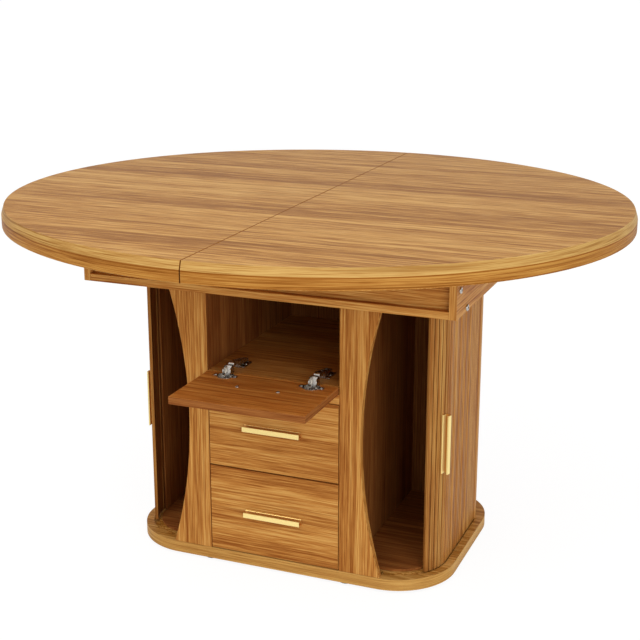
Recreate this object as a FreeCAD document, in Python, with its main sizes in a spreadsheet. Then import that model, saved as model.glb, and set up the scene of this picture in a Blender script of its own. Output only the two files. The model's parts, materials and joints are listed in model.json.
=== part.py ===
import FreeCAD, Part
import Sketcher
import math
import os
import re

# Kitchen table: an oval two-piece top on an apron tray, carried by a storage cabinet.
# The cabinet has a centre bay with a drop flap and two drawers, and two slatted corner doors.
# Millimetres, +X to the right, -Y to the front, +Z up, origin on the floor under the centre.
# The flap and both corner doors stand open and the drawers are shut.

doc = FreeCAD.newDocument("kitchen_table")

# Driving dimensions
SIZES = {
    # top and its rim
    "table_height": 760,
    "top_length": 1320,
    "top_width": 1240,
    "top_thick": 39,
    "oval_turn": 53,
    "seam_gap": 1,
    "rim_drop": 16,
    "rim_inset": 5,
    # apron tray under the top
    "apron_height": 112,
    "tray_side_overhang": 57,
    "tray_front_overhang": 54,
    "tray_floor_thick": 15,
    "apron_thick": 15,
    "apron_setback": 14,
    # fixings of the top and the tray
    "plate_length": 100,
    "plate_width": 30,
    "plate_thick": 2.5,
    "plate_spacing": 200,
    "bracket_leg": 34,
    "bracket_width": 24,
    "bracket_thick": 2.5,
    "bracket_spacing": 190,
    "bolt_radius": 3,
    "bolt_length": 46,
    "bolt_head_radius": 6.5,
    "bolt_head_thick": 3,
    "bolt_play": 0.2,
    "rail_bolt_lift": 38,
    "floor_bolt_inset": 70,
    # base
    "base_side_margin": 19,
    "base_front_margin": 1,
    "base_back_margin": 31,
    "base_thick": 25,
    "base_corner": 131,
    "foot_height": 6,
    "foot_radius": 17,
    "foot_reach_x": 154,
    "foot_reach_y": 217,
    "side_foot_reach": 310,
    # cabinet carcase
    "bay_width": 290,
    "board_thick": 16,
    "post_front": 241,
    "post_end_width": 88,
    "post_waist_width": 45,
    "liner_thick": 4,
    "liner_gap": 4,
    "floor_thick": 5,
    "floor_play": 0.3,
    # centre shelf and its rail
    "bay_height": 179,
    "shelf_rail_height": 20.5,
    # drop flap
    "flap_top_gap": 3,
    "flap_rise": 1.5,
    "flap_overlap": 1.5,
    "flap_clearance": 3.8,
    "flap_play": 0.3,
    "front_gap": 1.5,
    "hinge_inset": 51,
    "cup_radius": 17,
    "cup_depth": 11,
    "cup_wall": 1,
    "cup_play": 0.3,
    "cup_edge": 22.5,
    "wing_length": 53,
    "wing_width": 13,
    "wing_thick": 1.2,
    "ear_height": 17,
    "ear_depth": 18,
    "ear_thick": 2,
    "ear_play": 1,
    "arm_width": 12,
    "arm_thick": 10,
    "arm_lift": 12,
    "arm_nose": 9.6,
    "arm_length": 70,
    "arm_plate_length": 40,
    "arm_plate_width": 30,
    "arm_plate_thick": 3,
    # drawers
    "drawer_gap": 3,
    "lower_front_extra": 20.5,
    "drawer_base_gap": 2,
    "drawer_board": 12,
    "drawer_depth": 350,
    "drawer_floor_thick": 4,
    "box_lift": 16,
    "box_drop": 30,
    "runner_space": 12.5,
    "runner_gap": 0.5,
    "runner_height": 36,
    "runner_lift": 40,
    # handles
    "handle_length": 126,
    "handle_width": 11,
    "handle_projection": 14,
    "handle_lip": 2,
    "handle_strip_thick": 2,
    "handle_bar_thick": 3,
    "handle_web_thick": 2.5,
    "handle_screw_spacing": 88,
    "upper_handle_rise": 8.3,
    "lower_handle_drop": 2.5,
    "flap_handle_setback": 72.5,
    "screw_head_radius": 4,
    "screw_head_thick": 1.5,
    "screw_radius": 2,
    "screw_length": 14,
    "screw_play": 0.3,
    # slatted corner doors
    "door_reach": 337,
    "door_corner": 105,
    "door_post_gap": 7,
    "door_thick": 7,
    "door_play": 0.3,
    "overcut": 1,
    "bend_gap": 1.4,
    "slat_face_gap": 0.6,
    "slat_back_gap": 3,
    "stile_width": 56,
    "bend_slat_width": 17.5,
    "slat_width": 34.5,
    "door_handle_setback": 45,
    "door_handle_drop": 17,
}
FLAT_SLATS = 4
SIDES = {"right": 1, "left": -1}

sheet = doc.addObject("Spreadsheet::Sheet", "Sizes")
for row, (alias, number) in enumerate(SIZES.items(), start=1):
    sheet.set(f"A{row}", alias)
    sheet.set(f"B{row}", str(number))
    sheet.setAlias(f"B{row}", alias)
doc.recompute()

nodes = []


def formula(text):
    """Point every size name in a formula at the sheet."""
    return re.sub(r"[a-z_]+", lambda word: f"Sizes.{word[0]}" if word[0] in SIZES else word[0], str(text))


def bind(thing, **formulas):
    """Tie properties to formulas; an underscore in a property name stands for a dot."""
    for name, text in formulas.items():
        thing.setExpression(name.replace("_", "."), formula(text))


def put(thing, x=0, y=0, z=0):
    """Place a piece by formulas."""
    bind(thing, Placement_Base_x=x, Placement_Base_y=y, Placement_Base_z=z)


def keep(thing, name):
    """Name a finished piece as a node of the table."""
    thing.Label = name
    nodes.append(thing)
    return thing


def block(name, low, high):
    """Rectangular board or block between two corners given as formulas."""
    box = doc.addObject("Part::Box", name)
    bind(box, Length=f"({high[0]}) - ({low[0]})", Width=f"({high[1]}) - ({low[1]})",
         Height=f"({high[2]}) - ({low[2]})")
    put(box, *low)
    return box


def mirrored_block(name, side, low, high):
    """Block on the right side, or its mirror image on the left."""
    if side > 0:
        return block(name, low, high)
    return block(name, (f"-({high[0]})", low[1], low[2]), (f"-({low[0]})", high[1], high[2]))


def rod(name, radius, length, axis, place):
    """Round rod from a point along an axis."""
    cylinder = doc.addObject("Part::Cylinder", name)
    bind(cylinder, Radius=radius, Height=length)
    turn = FreeCAD.Rotation(FreeCAD.Vector(0, 0, 1), FreeCAD.Vector(*axis))
    cylinder.Placement = FreeCAD.Placement(FreeCAD.Vector(), turn)
    put(cylinder, *place)
    return cylinder


def joined(name, pieces):
    """One solid made of touching or crossing pieces."""
    fusion = doc.addObject("Part::MultiFuse", name)
    fusion.Shapes = pieces
    fusion.Refine = True
    return fusion


def group(name, pieces):
    """Separate like solids kept in one node."""
    compound = doc.addObject("Part::Compound", name)
    compound.Links = pieces
    return compound


def cut(name, base, tools):
    """Base less its holes or pockets."""
    difference = doc.addObject("Part::Cut", name)
    difference.Base = base
    difference.Tool = tools[0] if len(tools) == 1 else group(name + "_tools", tools)
    return difference


def origin_plane(body, role):
    return next(plane for plane in body.Origin.OriginFeatures if plane.Role == role)


def arc_between(start, end, radius):
    """Short arc between two points; a positive radius turns to the left."""
    chord = end - start
    middle = (start + end) * 0.5
    left = FreeCAD.Vector(-chord.y, chord.x, 0).normalize()
    rise = math.sqrt(radius ** 2 - (chord.Length / 2) ** 2)
    centre = middle + left * math.copysign(rise, radius)
    circle = Part.Circle(centre, FreeCAD.Vector(0, 0, 1), abs(radius))
    first, last = (start, end) if radius > 0 else (end, start)
    angles = [math.atan2((point - centre).y, (point - centre).x) for point in (first, last)]
    return Part.ArcOfCircle(circle, *angles)


def outlined(name, role, corners, radii, thick):
    """Body padded from a closed outline of corners, with an arc where radii names an edge."""
    body = doc.addObject("PartDesign::Body", name)
    sketch = body.newObject("Sketcher::SketchObject", name + "_outline")
    sketch.AttachmentSupport = (origin_plane(body, role), [""])
    sketch.MapMode = "FlatFace"
    points = [FreeCAD.Vector(measure(x), measure(y), 0) for x, y in corners]
    ends = []
    for number, start in enumerate(points):
        end = points[(number + 1) % len(points)]
        if number in radii:
            radius = measure(radii[number])
            edge = sketch.addGeometry(arc_between(start, end, radius))
            ends.append((1, 2) if radius > 0 else (2, 1))
            size = sketch.addConstraint(Sketcher.Constraint("Radius", edge, abs(radius)))
            sketch.setExpression(f"Constraints[{size}]", formula(f"abs({radii[number]})"))
        else:
            edge = sketch.addGeometry(Part.LineSegment(start, end))
            ends.append((1, 2))
    for number, point in enumerate(points):
        after = (number + 1) % len(points)
        meeting = (number, ends[number][1], after, ends[after][0])
        sketch.addConstraint(Sketcher.Constraint("Coincident", *meeting))
        for direction, value, text in zip(("DistanceX", "DistanceY"), point, corners[number]):
            size = sketch.addConstraint(Sketcher.Constraint(direction, -1, 1, number, ends[number][0], value))
            sketch.setExpression(f"Constraints[{size}]", formula(text))
    pad = body.newObject("PartDesign::Pad", name + "_pad")
    pad.Profile = sketch
    bind(pad, Length=thick)
    doc.recompute()
    return body


def measure(text):
    """Number that a formula gives with the sheet's sizes."""
    value = sheet.evalExpression(formula(text))
    return float(getattr(value, "Value", value))


def edges_where(body, test):
    """Names of the edges of a body's latest feature that pass a test on their bounding box."""
    edges = body.Tip.Shape.Edges
    return [f"Edge{number}" for number, edge in enumerate(edges, start=1) if test(edge.BoundBox)]


def dress(body, kind, edges):
    """Fillet or chamfer on named edges of a body."""
    latest = body.Tip
    feature = body.newObject(f"PartDesign::{kind}", f"{body.Name}_{kind.lower()}")
    feature.Base = (latest, edges)
    return feature


# Heights and depths that several pieces share
UNDERSIDE = "(table_height - top_thick)"
CEILING = f"({UNDERSIDE} - apron_height)"
TRAY_TOP = f"({CEILING} + tray_floor_thick)"
BASE_TOP = "(foot_height + base_thick)"
BASE_X = "(door_reach + base_side_margin)"
BASE_Y = "(post_front + base_front_margin)"
POST_BACK = "(post_front - board_thick)"
BACK_OUTSIDE = f"({BASE_Y} - base_back_margin)"
BACK_INSIDE = f"({BACK_OUTSIDE} - door_thick - liner_gap - liner_thick)"
BAY = "(bay_width / 2)"
DIVIDER_OUTSIDE = f"({BAY} + board_thick)"
SHELF_TOP = f"({CEILING} - bay_height)"
SHELF_UNDERSIDE = f"({SHELF_TOP} - board_thick)"
RAIL_UNDERSIDE = f"({SHELF_UNDERSIDE} - shelf_rail_height)"
CORNER_X = "(door_reach - door_corner)"
CORNER_FRONT = f"({POST_BACK} - door_post_gap - door_corner)"
CORNER_BACK = f"({BACK_OUTSIDE} - door_corner)"
LINER_OUTSIDE = "(door_reach - door_thick - liner_gap)"
LINER_INSIDE = f"({LINER_OUTSIDE} - liner_thick)"
INNER_BEND = f"({LINER_INSIDE} - {CORNER_X})"


# Top: two half ovals of four tangent arcs, with a sloping upper rim, meeting at a seam
HALF_LENGTH = "(top_length / 2)"
HALF_WIDTH = "(top_width / 2)"
COS = "cos(oval_turn * 1 deg)"
SIN = "sin(oval_turn * 1 deg)"
SPREAD = f"(({HALF_LENGTH} - {HALF_WIDTH}) / ({SIN} + {COS} - 1))"
END_RADIUS = f"({HALF_LENGTH} - {SPREAD} * {COS})"
SIDE_RADIUS = f"({HALF_WIDTH} + {SPREAD} * {SIN})"
TURN_X = f"({SPREAD} * {COS} + {END_RADIUS} * {COS})"
TURN_Y = f"({END_RADIUS} * {SIN})"

for word, side in SIDES.items():
    corners = [(f"{side} * seam_gap / 2", f"-{HALF_WIDTH}"), (f"{side} * {TURN_X}", f"-{TURN_Y}"),
               (f"{side} * {TURN_X}", TURN_Y), (f"{side} * seam_gap / 2", HALF_WIDTH)]
    radii = {0: f"{side} * {SIDE_RADIUS}", 1: f"{side} * {END_RADIUS}", 2: f"{side} * {SIDE_RADIUS}"}
    half = outlined(f"tabletop_{word}", "XY_Plane", corners, radii, "top_thick")
    top_level = measure("top_thick")
    rim = edges_where(half, lambda box: min(box.ZMin, top_level - box.ZLength) > top_level - 0.01
                      and box.XLength > measure("seam_gap"))
    bevel = dress(half, "Chamfer", rim)
    bevel.ChamferType = "Two distances"
    bind(bevel, Size="rim_drop", Size2="rim_inset")
    put(half, z=UNDERSIDE)
    keep(half, f"tabletop_{word}")

# Apron tray: floor board and two rails between two end boards
TRAY_X = "(door_reach + tray_side_overhang)"
TRAY_Y = "(post_front + tray_front_overhang)"
END_INSIDE = f"({TRAY_X} - apron_thick)"
RAIL_FRONT = f"({TRAY_Y} - apron_setback)"
RAIL_MIDDLE = f"({RAIL_FRONT} - apron_thick / 2)"
BOLT_HEIGHTS = {"rail": f"({TRAY_TOP} + rail_bolt_lift)", "floor": f"({CEILING} + tray_floor_thick / 2)"}
BOLT_REACHES = {"rail": RAIL_MIDDLE, "floor": f"({TRAY_Y} - floor_bolt_inset)"}


def tray_bolts(name, kinds, radius, length, start):
    """Rods along X at the tray's bolts, on both ends, front and back."""
    rods = []
    for kind in kinds:
        for word, side in SIDES.items():
            for depth in (1, -1):
                place = (f"{side} * ({start})", f"{depth} * {BOLT_REACHES[kind]}", BOLT_HEIGHTS[kind])
                rods.append(rod(f"{name}_{kind}", radius, length, (-side, 0, 0), place))
    return rods


def bolt_holes(name, kinds):
    return tray_bolts(name, kinds, "bolt_radius + bolt_play", "bolt_length + 2 * bolt_play", TRAY_X)


tray_floor = block("tray_floor_board", (f"-{END_INSIDE}", f"-{TRAY_Y}", CEILING),
                   (END_INSIDE, TRAY_Y, TRAY_TOP))
keep(cut("tray_floor", tray_floor, bolt_holes("tray_floor_hole", ["floor"])), "tray_floor")
for word, depth in {"front": -1, "back": 1}.items():
    near, far = sorted([f"{depth} * {RAIL_FRONT}", f"{depth} * ({RAIL_FRONT} - apron_thick)"], key=measure)
    rail = block(f"apron_{word}_board", (f"-{END_INSIDE}", near, TRAY_TOP), (END_INSIDE, far, UNDERSIDE))
    keep(cut(f"apron_{word}", rail, bolt_holes(f"apron_{word}_hole", ["rail"])), f"apron_{word}")
for word, side in SIDES.items():
    end = mirrored_block(f"apron_end_{word}_board", side, (END_INSIDE, f"-{TRAY_Y}", CEILING),
                         (TRAY_X, TRAY_Y, UNDERSIDE))
    keep(cut(f"apron_end_{word}", end, bolt_holes(f"apron_end_{word}_hole", ["rail", "floor"])),
         f"apron_end_{word}")

shanks = tray_bolts("bolt_shank", ["rail", "floor"], "bolt_radius", "bolt_length", TRAY_X)
heads = tray_bolts("bolt_head", ["rail", "floor"], "bolt_head_radius", "bolt_head_thick",
                   f"{TRAY_X} + bolt_head_thick")
bolts = [joined("apron_bolt", [shank, head]) for shank, head in zip(shanks, heads)]
keep(group("apron_bolts", bolts), "apron_bolts")

# Steel fixings inside the tray: flat plates across the seam, angle brackets at the end boards
fixings = []
for step in (-1, 0, 1):
    middle = f"({step} * plate_spacing)"
    fixings.append(block("seam_plate", ("-plate_length / 2", f"{middle} - plate_width / 2",
                                        f"{UNDERSIDE} - plate_thick"),
                         ("plate_length / 2", f"{middle} + plate_width / 2", UNDERSIDE)))
    for word, side in SIDES.items():
        middle = f"({step} * bracket_spacing)"
        low_y = f"{middle} - bracket_width / 2"
        high_y = f"{middle} + bracket_width / 2"
        upright = mirrored_block("bracket_upright", side,
                                 (f"{END_INSIDE} - bracket_thick", low_y, f"{UNDERSIDE} - bracket_leg"),
                                 (END_INSIDE, high_y, UNDERSIDE))
        flat = mirrored_block("bracket_flat", side,
                              (f"{END_INSIDE} - bracket_leg", low_y, f"{UNDERSIDE} - bracket_thick"),
                              (END_INSIDE, high_y, UNDERSIDE))
        fixings.append(joined("angle_bracket", [upright, flat]))
keep(group("top_fixings", fixings), "top_fixings")

# Base plate with rounded corners, on small feet
base_corners = [(f"-{BASE_X}", f"-{BASE_Y}"), (BASE_X, f"-{BASE_Y}"),
                (BASE_X, BASE_Y), (f"-{BASE_X}", BASE_Y)]
base = outlined("base_plate", "XY_Plane", base_corners, {}, "base_thick")
rounding = dress(base, "Fillet", edges_where(base, lambda box: box.XLength + box.YLength < box.ZLength))
bind(rounding, Radius="base_corner")
put(base, z="foot_height")
keep(base, "base_plate")
foot_places = [(f"{x} * foot_reach_x", f"{y} * foot_reach_y", 0) for x in (1, -1) for y in (1, -1)]
foot_places += [(f"{x} * side_foot_reach", 0, 0) for x in (1, -1)]
feet = [rod("base_foot", "foot_radius", "foot_height", (0, 0, 1), place) for place in foot_places]
keep(group("base_feet", feet), "base_feet")

# Carcase: dividers and waisted posts, back board, rounded back corners, liners and compartment floors
WAIST = "(post_end_width - post_waist_width)"
POST_END = f"({BAY} + post_end_width)"
POST_HALF = f"(({CEILING} - {BASE_TOP}) / 2)"
WAIST_RADIUS = f"(({POST_HALF} ^ 2 + {WAIST} ^ 2) / (2 * {WAIST}))"

for word, side in SIDES.items():
    divider = mirrored_block(f"divider_{word}", side, (BAY, f"-{POST_BACK}", BASE_TOP),
                             (DIVIDER_OUTSIDE, BACK_INSIDE, CEILING))
    keep(divider, f"divider_{word}")
    corners = [(f"{side} * {BAY}", BASE_TOP), (f"{side} * {POST_END}", BASE_TOP),
               (f"{side} * {POST_END}", CEILING), (f"{side} * {BAY}", CEILING)]
    post = outlined(f"post_{word}", "XZ_Plane", corners, {1: f"{-side} * {WAIST_RADIUS}"}, "board_thick")
    put(post, y=f"-{POST_BACK}")
    keep(post, f"post_{word}")

keep(block("back_panel", (f"-{CORNER_X}", BACK_INSIDE, BASE_TOP),
           (CORNER_X, BACK_OUTSIDE, CEILING)), "back_panel")


def ring_part(name, side, centre_y, start, sweep, outside, inside, low, high):
    """Part of an upright ring about a corner's centre, from a start angle through a sweep."""
    discs = []
    for label, radius, bottom, height, angle in (
            ("whole", outside, low, f"({high}) - ({low})", sweep),
            ("hollow", inside, f"({low}) - overcut", f"({high}) - ({low}) + 2 * overcut", "360")):
        disc = doc.addObject("Part::Cylinder", f"{name}_{label}")
        turn = FreeCAD.Rotation(FreeCAD.Vector(0, 0, 1), measure(start))
        disc.Placement = FreeCAD.Placement(FreeCAD.Vector(), turn)
        bind(disc, Radius=radius, Height=height, Angle=angle)
        put(disc, f"{side} * {CORNER_X}", centre_y, bottom)
        discs.append(disc)
    return cut(name, discs[0], [discs[1]])


for word, side in SIDES.items():
    start = "0" if side > 0 else "90"
    corner = ring_part(f"back_corner_{word}", side, CORNER_BACK, start, "90", "door_corner",
                       INNER_BEND, BASE_TOP, CEILING)
    keep(corner, f"back_corner_{word}")
    liner = mirrored_block(f"side_liner_{word}", side, (LINER_INSIDE, f"-{CORNER_FRONT}", BASE_TOP),
                           (LINER_OUTSIDE, CORNER_BACK, CEILING))
    keep(liner, f"side_liner_{word}")
    bend = f"({INNER_BEND} - floor_play)"
    front_edge = f"-({CORNER_FRONT} + {bend})"
    back_edge = f"({CORNER_BACK} + {bend})"
    outer_edge = f"{side} * ({CORNER_X} + {bend})"
    corners = [(f"{side} * {DIVIDER_OUTSIDE}", front_edge), (f"{side} * {CORNER_X}", front_edge),
               (outer_edge, f"-{CORNER_FRONT}"), (outer_edge, CORNER_BACK),
               (f"{side} * {CORNER_X}", back_edge), (f"{side} * {DIVIDER_OUTSIDE}", back_edge)]
    radii = {1: f"{side} * {bend}", 3: f"{side} * {bend}"}
    floor = outlined(f"floor_{word}", "XY_Plane", corners, radii, "floor_thick")
    put(floor, z=BASE_TOP)
    keep(floor, f"floor_{word}")

# Centre shelf level with the open flap, and a rail under its front edge that carries the flap
FLAP_BACK = "(post_front - flap_overlap)"
SHELF_FRONT = f"({FLAP_BACK} - flap_clearance)"
keep(block("shelf", (f"-{BAY}", f"-{SHELF_FRONT}", SHELF_UNDERSIDE), (BAY, BACK_INSIDE, SHELF_TOP)),
     "shelf")
keep(block("shelf_rail", (f"-{BAY}", "-post_front", RAIL_UNDERSIDE), (BAY, f"-{POST_BACK}", SHELF_UNDERSIDE)),
     "shelf_rail")


# Handles: a channel along X that stands out to -Y and is open to +Z, of a strip on the board, a web and a bar
def handle(name, length):
    half = f"({length}) / 2"
    wide = "handle_width / 2"
    strip = block(f"{name}_strip", (f"-{half}", "-handle_strip_thick", f"-{wide}"),
                  (half, 0, f"{wide} + handle_lip"))
    bar = block(f"{name}_bar", (f"-{half}", "-handle_projection", f"-{wide}"),
                (half, "handle_bar_thick - handle_projection", wide))
    web = block(f"{name}_web", (f"-{half}", "-handle_projection", f"-{wide}"),
                (half, 0, f"handle_web_thick - {wide}"))
    return joined(name, [strip, bar, web])


# Drop flap, lying open level with the shelf, with its handle underneath
FLAP_X = f"({BAY} - front_gap)"
FLAP_UNDERSIDE = f"({SHELF_UNDERSIDE} + flap_play)"
FLAP_HEIGHT = "(bay_height - flap_top_gap - flap_rise)"
FLAP_FRONT = f"({FLAP_BACK} + {FLAP_HEIGHT})"
HINGE_X = f"({BAY} - hinge_inset)"
CUP_Y = f"({FLAP_BACK} + cup_edge)"
SCREW_Y = f"({FLAP_BACK} + flap_handle_setback)"

flap_board = block("flap_board", (f"-{FLAP_X}", f"-{FLAP_FRONT}", FLAP_UNDERSIDE),
                   (FLAP_X, f"-{FLAP_BACK}", SHELF_TOP))
flap_holes = []
for step in (1, -1):
    flap_holes.append(rod("flap_cup_pocket", "cup_radius + cup_play", "cup_depth + cup_play", (0, 0, -1),
                          (f"{step} * {HINGE_X}", f"-{CUP_Y}", SHELF_TOP)))
    flap_holes.append(rod("flap_screw_hole", "screw_radius + screw_play", "board_thick", (0, 0, -1),
                          (f"{step} * handle_screw_spacing / 2", f"-{SCREW_Y}", SHELF_TOP)))
keep(cut("flap_panel", flap_board, flap_holes), "flap_panel")

flap_handle = handle("flap_handle", "handle_length")
flap_handle.Placement = FreeCAD.Placement(FreeCAD.Vector(), FreeCAD.Rotation(FreeCAD.Vector(1, 0, 0), 90))
put(flap_handle, 0, f"-{SCREW_Y}", FLAP_UNDERSIDE)
keep(flap_handle, "flap_handle")

screws = []
cups = []
arms = []
for step in (1, -1):
    across = f"{step} * handle_screw_spacing / 2"
    head = rod("flap_screw_head", "screw_head_radius", "screw_head_thick", (0, 0, 1),
               (across, f"-{SCREW_Y}", SHELF_TOP))
    shank = rod("flap_screw_shank", "screw_radius", "screw_length", (0, 0, -1),
                (across, f"-{SCREW_Y}", SHELF_TOP))
    screws.append(joined("flap_screw", [head, shank]))

    # flap half of a cup hinge: cup in the pocket, wing plate on the board, two ears
    centre = f"({step} * {HINGE_X})"
    cup_body = rod("cup_body", "cup_radius", "cup_depth", (0, 0, -1), (centre, f"-{CUP_Y}", SHELF_TOP))
    wing = block("cup_wing", (f"{centre} - wing_length / 2", f"-{CUP_Y} - wing_width / 2", SHELF_TOP),
                 (f"{centre} + wing_length / 2", f"-{CUP_Y} + wing_width / 2", f"{SHELF_TOP} + wing_thick"))
    rim_plate = rod("cup_rim", "cup_radius + cup_wall", "wing_thick", (0, 0, 1),
                    (centre, f"-{CUP_Y}", SHELF_TOP))
    hollow = rod("cup_hollow", "cup_radius - cup_wall", "cup_depth - cup_wall + wing_thick", (0, 0, -1),
                 (centre, f"-{CUP_Y}", f"{SHELF_TOP} + wing_thick"))
    shell = cut("cup_shell", joined("cup_whole", [cup_body, wing, rim_plate]), [hollow])
    ears = []
    for flank in (1, -1):
        inner = f"({centre} + {flank} * (arm_width / 2 + ear_play))"
        outer = f"({centre} + {flank} * (arm_width / 2 + ear_play + ear_thick))"
        low_x, high_x = sorted([inner, outer], key=measure)
        ears.append(block("cup_ear", (low_x, f"-{FLAP_BACK} - ear_depth", SHELF_TOP),
                          (high_x, f"-{FLAP_BACK}", f"{SHELF_TOP} + ear_height")))
    cups.append(joined("hinge_cup", [shell] + ears))

    # shelf half: plate, foot and an arm whose nose enters the cup when the flap shuts
    nose = f"-({POST_BACK} + arm_nose)"
    tail = f"(arm_length - {POST_BACK} - arm_nose)"
    arm_half = "arm_width / 2"
    arm_low = f"({SHELF_TOP} + arm_lift)"
    plate_front = f"({tail} - arm_plate_length)"
    plate = block("arm_plate", (f"{centre} - arm_plate_width / 2", plate_front, SHELF_TOP),
                  (f"{centre} + arm_plate_width / 2", tail, f"{SHELF_TOP} + arm_plate_thick"))
    foot = block("arm_foot", (f"{centre} - {arm_half}", plate_front, SHELF_TOP),
                 (f"{centre} + {arm_half}", tail, arm_low))
    bar = block("arm_bar", (f"{centre} - {arm_half}", nose, arm_low),
                (f"{centre} + {arm_half}", tail, f"{arm_low} + arm_thick"))
    arms.append(joined("hinge_arm", [plate, foot, bar]))
keep(group("flap_handle_screws", screws), "flap_handle_screws")
keep(group("flap_hinge_cups", cups), "flap_hinge_cups")
keep(group("flap_hinge_arms", arms), "flap_hinge_arms")

# Drawers: a front flush with the posts, a box behind it, and runners at both sides
BOX_X = f"({BAY} - runner_space)"
RUNNER_SPLIT = f"({BAY} - runner_space / 2)"
BOX_BACK = f"(drawer_depth - {POST_BACK})"
LOWER_BOTTOM = f"({BASE_TOP} + drawer_base_gap)"
UPPER_TOP = f"({RAIL_UNDERSIDE} - drawer_base_gap)"
UPPER_HEIGHT = f"(({UPPER_TOP} - {LOWER_BOTTOM} - drawer_gap - lower_front_extra) / 2)"
LOWER_TOP = f"({LOWER_BOTTOM} + {UPPER_HEIGHT} + lower_front_extra)"
DRAWERS = {
    "lower": (LOWER_BOTTOM, LOWER_TOP, "-lower_handle_drop"),
    "upper": (f"({LOWER_TOP} + drawer_gap)", UPPER_TOP, "upper_handle_rise"),
}
rails = []
for word, (bottom, top, handle_rise) in DRAWERS.items():
    box_low = f"({bottom} + box_lift)"
    box_high = f"({top} - box_drop)"
    inside = f"({BOX_X} - drawer_board)"
    keep(block(f"{word}_drawer_front", (f"-{FLAP_X}", "-post_front", bottom), (FLAP_X, f"-{POST_BACK}", top)),
         f"{word}_drawer_front")
    slides = []
    for hand, side in SIDES.items():
        keep(mirrored_block(f"{word}_drawer_side_{hand}", side, (inside, f"-{POST_BACK}", box_low),
                            (BOX_X, BOX_BACK, box_high)), f"{word}_drawer_side_{hand}")
        runner_low = f"({bottom} + runner_lift)"
        runner_high = f"({runner_low} + runner_height)"
        slides.append(mirrored_block("runner_slide", side, (BOX_X, f"-{POST_BACK}", runner_low),
                                     (f"{RUNNER_SPLIT} - runner_gap / 2", BOX_BACK, runner_high)))
        rails.append(mirrored_block("runner_rail", side,
                                    (f"{RUNNER_SPLIT} + runner_gap / 2", f"-{POST_BACK}", runner_low),
                                    (BAY, BOX_BACK, runner_high)))
    keep(group(f"{word}_drawer_slides", slides), f"{word}_drawer_slides")
    keep(block(f"{word}_drawer_floor", (f"-{inside}", f"-{POST_BACK}", box_low),
               (inside, BOX_BACK, f"{box_low} + drawer_floor_thick")), f"{word}_drawer_floor")
    keep(block(f"{word}_drawer_back", (f"-{inside}", f"{BOX_BACK} - drawer_board",
                                       f"{box_low} + drawer_floor_thick"),
               (inside, BOX_BACK, box_high)), f"{word}_drawer_back")
    grip = handle(f"{word}_drawer_handle", "handle_length")
    put(grip, 0, "-post_front", f"({bottom} + {top}) / 2 + {handle_rise}")
    keep(grip, f"{word}_drawer_handle")
keep(group("runner_rails", rails), "runner_rails")

# Corner doors: a handled stile and a slat on the bend, flat slats and a wide tail on the side
DOOR_LOW = f"({BASE_TOP} + door_play)"
DOOR_HIGH = f"({CEILING} - door_play)"
BEND_RADIUS = "(door_corner - door_thick / 2)"
TRAVEL = f"({FLAT_SLATS} * slat_width)"
# The left door is slid open further, by one slat: its slat next to the stile lies on the side
FURTHER_OPEN = {"right": "0", "left": "bend_slat_width"}


def bend_angle(run):
    """Degrees round the corner after a run along the middle of the slats."""
    return f"(({run}) / {BEND_RADIUS} * 180 / pi)"


def bend_piece(name, side, near, far):
    """Piece of the door on the bend between two runs from the start of the bend."""
    near_angle = bend_angle(f"{near} + bend_gap / 2")
    far_angle = bend_angle(f"{far} - bend_gap / 2")
    start = f"360 - {far_angle}" if side > 0 else f"180 + {near_angle}"
    return ring_part(name, side, f"-{CORNER_FRONT}", start, f"{far_angle} - {near_angle}", "door_corner",
                     "door_corner - door_thick", DOOR_LOW, DOOR_HIGH)


def side_piece(name, side, front, back):
    """Flat piece of the door along the cabinet's side, with its edges cut back to clear on the bend."""
    outside = f"{side} * door_reach"
    inside = f"{side} * (door_reach - door_thick)"
    corners = [(inside, f"{front} + slat_back_gap / 2"), (outside, f"{front} + slat_face_gap / 2"),
               (outside, f"{back} - slat_face_gap / 2"), (inside, f"{back} - slat_back_gap / 2")]
    piece = outlined(name, "XY_Plane", corners, {}, f"{DOOR_HIGH} - {DOOR_LOW}")
    put(piece, z=DOOR_LOW)
    return keep(piece, name)


for word, side in SIDES.items():
    further = FURTHER_OPEN[word]
    stile_near = f"(bend_slat_width - {further})"
    stile = bend_piece(f"door_stile_{word}", side, stile_near, f"{stile_near} + stile_width")
    keep(stile, f"door_stile_{word}")
    if side > 0:
        keep(bend_piece(f"door_slat_{word}_bend", side, "0", "bend_slat_width"), f"door_slat_{word}_bend")
    else:
        side_piece(f"door_slat_{word}_bend", side, f"-{CORNER_FRONT}", f"{further} - {CORNER_FRONT}")
    for number in range(FLAT_SLATS):
        front = f"{further} + {number} * slat_width - {CORNER_FRONT}"
        side_piece(f"door_slat_{word}_{number + 1}", side, front, f"{front} + slat_width")
    side_piece(f"door_tail_{word}", side, f"{further} + {TRAVEL} - {CORNER_FRONT}", CORNER_BACK)

    grip = handle(f"door_handle_{word}", "handle_length")
    middle = bend_angle(f"{stile_near} + stile_width - door_handle_setback")
    turned = math.radians(measure(middle))
    outward = FreeCAD.Vector(side * math.cos(turned), -math.sin(turned), 0)
    upright = FreeCAD.Vector(0, 0, side)
    grip.Placement = FreeCAD.Placement(
        FreeCAD.Vector(), FreeCAD.Rotation(upright, -outward, upright.cross(-outward), "XYZ"))
    put(grip, f"{side} * ({CORNER_X} + door_corner * cos({middle} * 1 deg))",
        f"-{CORNER_FRONT} - door_corner * sin({middle} * 1 deg)",
        f"({BASE_TOP} + {CEILING}) / 2 - door_handle_drop")
    keep(grip, f"door_handle_{word}")

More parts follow.
